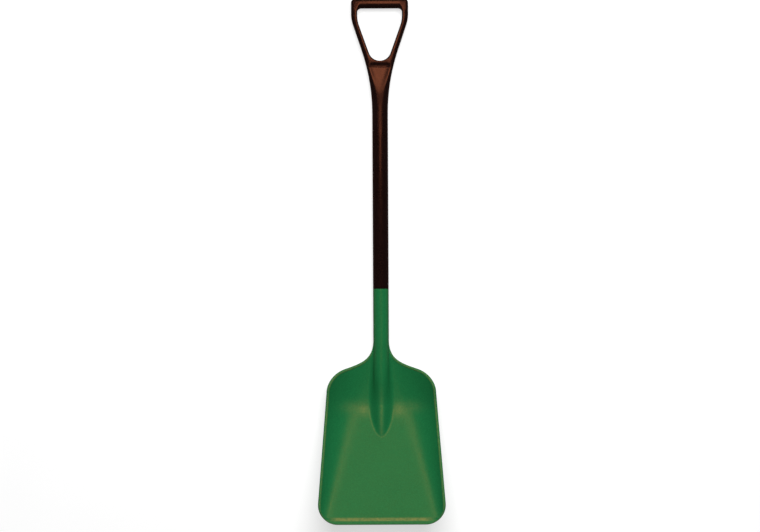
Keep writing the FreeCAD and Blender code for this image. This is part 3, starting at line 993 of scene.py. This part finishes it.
def ranged(nodes, links, source, low, high, start=0.3, end=0.7):
    """Maps a source's start to end onto low to high."""
    node = nodes.new("ShaderNodeMapRange")
    node.inputs["From Min"].default_value = start
    node.inputs["From Max"].default_value = end
    node.inputs["To Min"].default_value = low
    node.inputs["To Max"].default_value = high
    links.new(source, node.inputs["Value"])
    return node.outputs["Result"]


def mixed(nodes, links, share, one, two):
    """Blends colour one to colour two by a 0 to 1 share."""
    node = nodes.new("ShaderNodeMix")
    node.data_type = "RGBA"
    links.new(share, node.inputs["Factor"])
    for number, colour in zip(MIX_COLOUR_INPUTS, (one, two)):
        if isinstance(colour, tuple):
            node.inputs[number].default_value = (*colour, 1)
        else:
            links.new(colour, node.inputs[number])
    return node.outputs[MIX_COLOUR_OUTPUT]


def product(nodes, links, one, two):
    """Multiplies two sources."""
    node = nodes.new("ShaderNodeMath")
    node.operation = "MULTIPLY"
    links.new(one, node.inputs[0])
    links.new(two, node.inputs[1])
    return node.outputs["Value"]


def bumps(nodes, links, layers):
    """Stacks bump layers, each a (height source, distance in metres, strength)."""
    normal = None
    for height, distance, strength in layers:
        node = nodes.new("ShaderNodeBump")
        node.inputs["Distance"].default_value = distance
        node.inputs["Strength"].default_value = strength
        links.new(height, node.inputs["Height"])
        if normal is not None:
            links.new(normal, node.inputs["Normal"])
        normal = node.outputs["Normal"]
    return normal


def pigment_and_highlights(nodes, links, dark, middle, light, highlight_colour):
    """Faint flow mottling and speckle, with painted highlights, broken up by patchy noise, where
    the piece's highlight layer asks for them.

    A piece without that layer reads 0 and gets no painted highlight.
    """
    mottling = noise(nodes, links, FLOW_SCALE, detail=3)
    flow = ramp(nodes, links, mottling, [(0.35, dark), (0.65, middle)])
    dots = noise(nodes, links, SPECKLE_SCALE, detail=3, roughness=0.7)
    speckle = ranged(nodes, links, dots, low=0, high=1, start=0.42, end=0.62)
    colour = mixed(nodes, links, speckle, flow, light)
    # The highlight layer: how much painted highlight each point gets.
    painted_highlight = nodes.new("ShaderNodeAttribute")
    painted_highlight.attribute_name = "painted_highlight"
    # Patchy noise that breaks up the painted highlight.
    highlight_noise = noise(nodes, links, HIGHLIGHT_PATCH_SCALE, detail=5, roughness=0.7)
    highlight_patches = ranged(nodes, links, highlight_noise, low=0.35, high=1, start=0.35, end=0.6)
    highlight_amount = product(nodes, links, painted_highlight.outputs["Fac"], highlight_patches)
    return mixed(nodes, links, highlight_amount, colour, highlight_colour)


def moulded_plastic(name, dark, middle, light, highlight_colour, tint, sheen_tint, roughness, level, grain,
                    sheen):
    """Pigmented polypropylene: mottled colour, painted highlights where a piece asks for them,
    uneven gloss, waves and fine moulded grain.
    """
    material, nodes, links = new_material(name)
    shader = nodes["Principled BSDF"]
    links.new(pigment_and_highlights(nodes, links, dark, middle, light, highlight_colour), shader.inputs["Base Color"])
    patches = noise(nodes, links, GLOSS_SCALE, detail=6, roughness=0.65)
    gloss = ranged(nodes, links, patches, roughness - GLOSS_SPREAD, roughness + GLOSS_SPREAD)
    links.new(gloss, shader.inputs["Roughness"])
    shader.inputs["Specular Tint"].default_value = (*tint, 1)
    shader.inputs["Specular IOR Level"].default_value = level
    shader.inputs["Sheen Weight"].default_value = sheen
    shader.inputs["Sheen Roughness"].default_value = SHEEN_ROUGHNESS
    shader.inputs["Sheen Tint"].default_value = (*sheen_tint, 1)
    fine = noise(nodes, links, GRAIN_SCALE, detail=2)
    wavy = noise(nodes, links, WAVE_SCALE, detail=2)
    layers = [(wavy, WAVE_DEPTH, WAVE_STRENGTH), (fine, GRAIN_DEPTH, grain)]
    links.new(bumps(nodes, links, layers), shader.inputs["Normal"])
    return material


def metal(name, dark, light, roughness, stretch):
    """Bare metal with a drawn or plated grain."""
    material, nodes, links = new_material(name)
    shader = nodes["Principled BSDF"]
    shader.inputs["Metallic"].default_value = 1
    grain = noise(nodes, links, METAL_SCALE, detail=4, roughness=0.6, stretch=stretch)
    links.new(ramp(nodes, links, grain, [(0.3, dark), (0.7, light)]), shader.inputs["Base Color"])
    gloss = ranged(nodes, links, grain, roughness - METAL_GLOSS_SPREAD,
                   roughness + METAL_GLOSS_SPREAD)
    links.new(gloss, shader.inputs["Roughness"])
    layers = [(grain, GRAIN_DEPTH, METAL_GRAIN_STRENGTH)]
    links.new(bumps(nodes, links, layers), shader.inputs["Normal"])
    return material


def paint(piece, material):
    """Gives a piece one material in place of whatever it has."""
    piece.data.materials.clear()
    piece.data.materials.append(material)


# ---- finishing a piece

def add_painted_highlight(piece, amounts):
    """Stores how much painted highlight each point gets, 0 to 1, for the material to use."""
    layer = piece.data.attributes.new("painted_highlight", "FLOAT", "POINT")
    layer.data.foreach_set("value", np.asarray(amounts, np.float32))


def bore_cutter(reaches):
    """Upright cylinders, one for each screw, up to the inner side of its head."""
    turn = np.linspace(0, 2 * math.pi, SCREW_BORE_SIDES, endpoint=False)
    circle = SCREW_BORE_RADIUS * np.stack([np.cos(turn), np.sin(turn)], axis=1)
    points = []
    faces = []
    for reach in reaches:
        faces.extend(closed_faces(2, SCREW_BORE_SIDES, len(points)))
        for z in (SCREW_BORE_START, SCREW_BORE_TOP):
            points.extend((x, y + reach + FRONT_Y, z) for x, y in circle)
    mesh = bpy.data.meshes.new("screw_bores")
    mesh.from_pydata((np.array(points) * MM).tolist(), [], faces)
    turned_outwards(mesh)
    return in_scene("screw_bores", mesh)


def cut_screw_bores(piece, reaches):
    """Counterbores in the underside, each with a screw's head at its bottom."""
    cutter = bore_cutter(reaches)
    cut = piece.modifiers.new("bores", "BOOLEAN")
    cut.operation = "DIFFERENCE"
    cut.solver = "EXACT"
    cut.object = cutter
    bpy.context.view_layer.update()
    cut_piece = piece.evaluated_get(bpy.context.evaluated_depsgraph_get())
    cut_mesh = bpy.data.meshes.new_from_object(cut_piece)
    piece.modifiers.remove(cut)
    piece.data = cut_mesh
    bpy.data.objects.remove(cutter)
    cut_mesh.set_sharp_from_angle(angle=SCREW_BORE_EDGE_ANGLE)


def scoop_painted_highlight(points):
    """Painted highlights on the scoop's face, 0 to 1: lip, socket crest and foot, creases and heel.
    """
    reach = points[:, 1] / MM - FRONT_Y
    across = np.abs(points[:, 0]) / MM
    lip = np.exp(-((reach - (LIP_START + LIP_END) / 2) / LIP_HIGHLIGHT_WIDTH) ** 4)
    lip *= 1 - smooth(across, *LIP_HIGHLIGHT_SIDES)
    crest = bump(across, 0, CREST_HIGHLIGHT_WIDTH)
    crest *= smooth(reach, *CREST_HIGHLIGHT_START) * (1 - smooth(reach, *CREST_HIGHLIGHT_END))
    foot = bump(across, nose_half_width(reach) + FOOT_HIGHLIGHT_OFFSET, FOOT_HIGHLIGHT_WIDTH)
    foot *= (reach > FOOT_HIGHLIGHT_START) * (1 - smooth(reach, *FOOT_HIGHLIGHT_END))
    crease = bump(across, crease_offset(reach) + CREASE_HIGHLIGHT_OFFSET, CREASE_HIGHLIGHT_WIDTH)
    crease *= (reach > LIP_START) * (1 - smooth(reach, *CREASE_HIGHLIGHT_END))
    highlight_amount = LIP_HIGHLIGHT * lip + CREST_HIGHLIGHT * crest + FOOT_HIGHLIGHT * foot + CREASE_HIGHLIGHT * crease
    for spot_reach, spot_offset, length, width, strength in HEEL_HIGHLIGHTS:
        highlight_amount += strength * bump(reach, spot_reach, length) * bump(across, spot_offset, width)
    above = points[:, 2] / MM - underside(across, reach)
    return np.clip(highlight_amount, 0, 1) * (above > LIP_DROP / 2)


def bead_painted_highlight(count):
    """Painted highlight on each point of the rim bead: on top and on its inner side."""
    turn = np.linspace(0, 2 * math.pi, BEAD_SIDES, endpoint=False)
    highlight_amount = BEAD_HIGHLIGHT * np.maximum(0, np.cos(turn - BEAD_HIGHLIGHT_ANGLE)) ** 2
    return np.tile(highlight_amount, count // BEAD_SIDES)


def vertex_array(piece):
    """A piece's points, in metres, as an array of rows."""
    points = np.empty(len(piece.data.vertices) * 3, np.float32)
    piece.data.vertices.foreach_get("co", points)
    return points.reshape(-1, 3)


# ---- stage, lights and camera

def floor_paint():
    """A matt, faintly uneven paint that glows a little, so that shadows on it stay soft."""
    material, nodes, links = new_material("floor_paint")
    shader = nodes["Principled BSDF"]
    shade = noise(nodes, links, FLOOR_PAINT_SCALE, detail=3)
    dark, light = [(grey, grey, grey) for grey in FLOOR_GREYS]
    links.new(ramp(nodes, links, shade, [(0.3, dark), (0.7, light)]), shader.inputs["Base Color"])
    grain = noise(nodes, links, FLOOR_GRAIN_SCALE, detail=3)
    links.new(ranged(nodes, links, grain, low=0.75, high=0.9), shader.inputs["Roughness"])
    shader.inputs["Specular IOR Level"].default_value = FLOOR_GLOSS
    shader.inputs["Emission Color"].default_value = (1, 1, 1, 1)
    shader.inputs["Emission Strength"].default_value = FLOOR_GLOW
    return material


def stage_floor():
    """A wide level floor under the shovel."""
    steps = np.linspace(-FLOOR_HALF_WIDTH, FLOOR_HALF_WIDTH, FLOOR_CELLS + 1)
    points = [(x, y, 0.0) for y in steps for x in steps]
    row = FLOOR_CELLS + 1
    corners = [row * j + i for j in range(FLOOR_CELLS) for i in range(FLOOR_CELLS)]
    faces = [(a, a + 1, a + row + 1, a + row) for a in corners]
    mesh = bpy.data.meshes.new("floor")
    mesh.from_pydata(points, [], faces)
    mesh.materials.append(floor_paint())
    floor = in_scene("floor", mesh)
    floor.location.z = -FLOOR_DROP
    floor.visible_glossy = False


def soft_light(name, place, aim, size, power, feeds):
    """An area light that feeds either matt shading or gloss."""
    light = bpy.data.lights.new(name, "AREA")
    light.shape = "RECTANGLE"
    light.size, light.size_y = size
    light.energy = power
    lamp = in_scene(name, light)
    lamp.location = place
    lamp.rotation_mode = "QUATERNION"
    lamp.rotation_quaternion = (Vector(aim) - Vector(place)).to_track_quat("-Z", "Y")
    lamp.visible_camera = False
    lamp.visible_glossy = feeds == "gloss"
    lamp.visible_diffuse = feeds == "matt"


def lights():
    """All the lights, and a dim white world."""
    for light in LIGHTS:
        soft_light(*light)
    world = bpy.data.worlds.new("studio")
    bpy.context.scene.world = world
    world.use_nodes = True
    background = world.node_tree.nodes["Background"]
    background.inputs["Color"].default_value = (1, 1, 1, 1)
    background.inputs["Strength"].default_value = WORLD_STRENGTH


def camera():
    """The photo's own view."""
    data = bpy.data.cameras.new("camera")
    data.lens = data.sensor_width * CAMERA_DISTANCE / VIEW_WIDTH
    data.clip_end = VIEW_END
    eye = in_scene("camera", data)
    eye.location = (*VIEW_CENTRE, VIEW_HEIGHT + CAMERA_DISTANCE)
    eye.rotation_euler = (0, 0, VIEW_ROLL)
    bpy.context.scene.camera = eye


# ---- the scene

# Each plastic's last, paler colour is painted highlight, laid on only where a piece's highlight
# layer asks; the scoop and its bead have one.
green = moulded_plastic(
    "green_plastic", dark=(0.0064, 0.113, 0.035), middle=(0.007, 0.122, 0.038),
    light=(0.0098, 0.144, 0.045), highlight_colour=(0.2, 0.22, 0.068), tint=(1.0, 0.4, 0.06),
    sheen_tint=(0.9, 0.5, 0.12), roughness=0.34, level=0.5, grain=0.35, sheen=0.05)
brown = moulded_plastic(
    "brown_plastic", dark=(0.003, 0.0013, 0.0014), middle=(0.004, 0.0018, 0.0019),
    light=(0.007, 0.003, 0.0029), highlight_colour=(0.05, 0.022, 0.014), tint=(1.0, 0.29, 0.13),
    sheen_tint=(1.0, 0.22, 0.1), roughness=0.29, level=0.6, grain=0.35, sheen=0.1)
plug = moulded_plastic(
    "plug_plastic", dark=(0.017, 0.019, 0.021), middle=(0.02, 0.022, 0.024),
    light=(0.026, 0.028, 0.03), highlight_colour=(0.06, 0.06, 0.06), tint=(1, 1, 1),
    sheen_tint=(1, 1, 1), roughness=0.5, level=0.5, grain=0.3, sheen=0.0)
steel = metal("zinc_plated_steel", dark=(0.42, 0.42, 0.43), light=(0.6, 0.6, 0.61),
              roughness=0.32, stretch=(1, 1, 1))
aluminium = metal("drawn_aluminium", dark=(0.5, 0.51, 0.52), light=(0.62, 0.63, 0.65),
                  roughness=0.3, stretch=(1, 0.02, 1))

scoop_piece = mesh_piece("scoop", *scoop(), GREEN, ["blade"])
cut_screw_bores(scoop_piece, SOCKET_SCREW_REACHES)
# Painted highlights on the scoop's lip, crest, socket foot, creases and heel.
add_painted_highlight(scoop_piece, scoop_painted_highlight(vertex_array(scoop_piece)))
paint(scoop_piece, green)

bead_piece = mesh_piece("scoop_rim", *rim_bead(), GREEN)
# Painted highlight along the top and inner side of the bead.
add_painted_highlight(bead_piece, bead_painted_highlight(len(bead_piece.data.vertices)))
paint(bead_piece, green)

rib_piece = mesh_piece("scoop_ribs", *scoop_ribs(), GREEN)
paint(rib_piece, green)

sleeve_piece = mesh_piece("handle_sleeve", *shaft_sleeve(), BROWN, ["shaft_sleeve"])
paint(sleeve_piece, brown)

grip_piece = mesh_piece("hand_grip", *d_grip(), BROWN, ["d_grip"])
cut_screw_bores(grip_piece, GRIP_SCREW_REACHES)
paint(grip_piece, brown)

# CAD pieces that only get a look
cad_looks = {"socket_screws": steel, "grip_screw": steel, "core_tube": aluminium,
             "core_plug_lower": plug, "core_plug_upper": plug}
for node_name, look in cad_looks.items():
    paint(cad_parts[node_name], look)

stage_floor()
lights()
camera()
bpy.context.scene.view_settings.view_transform = "Standard"
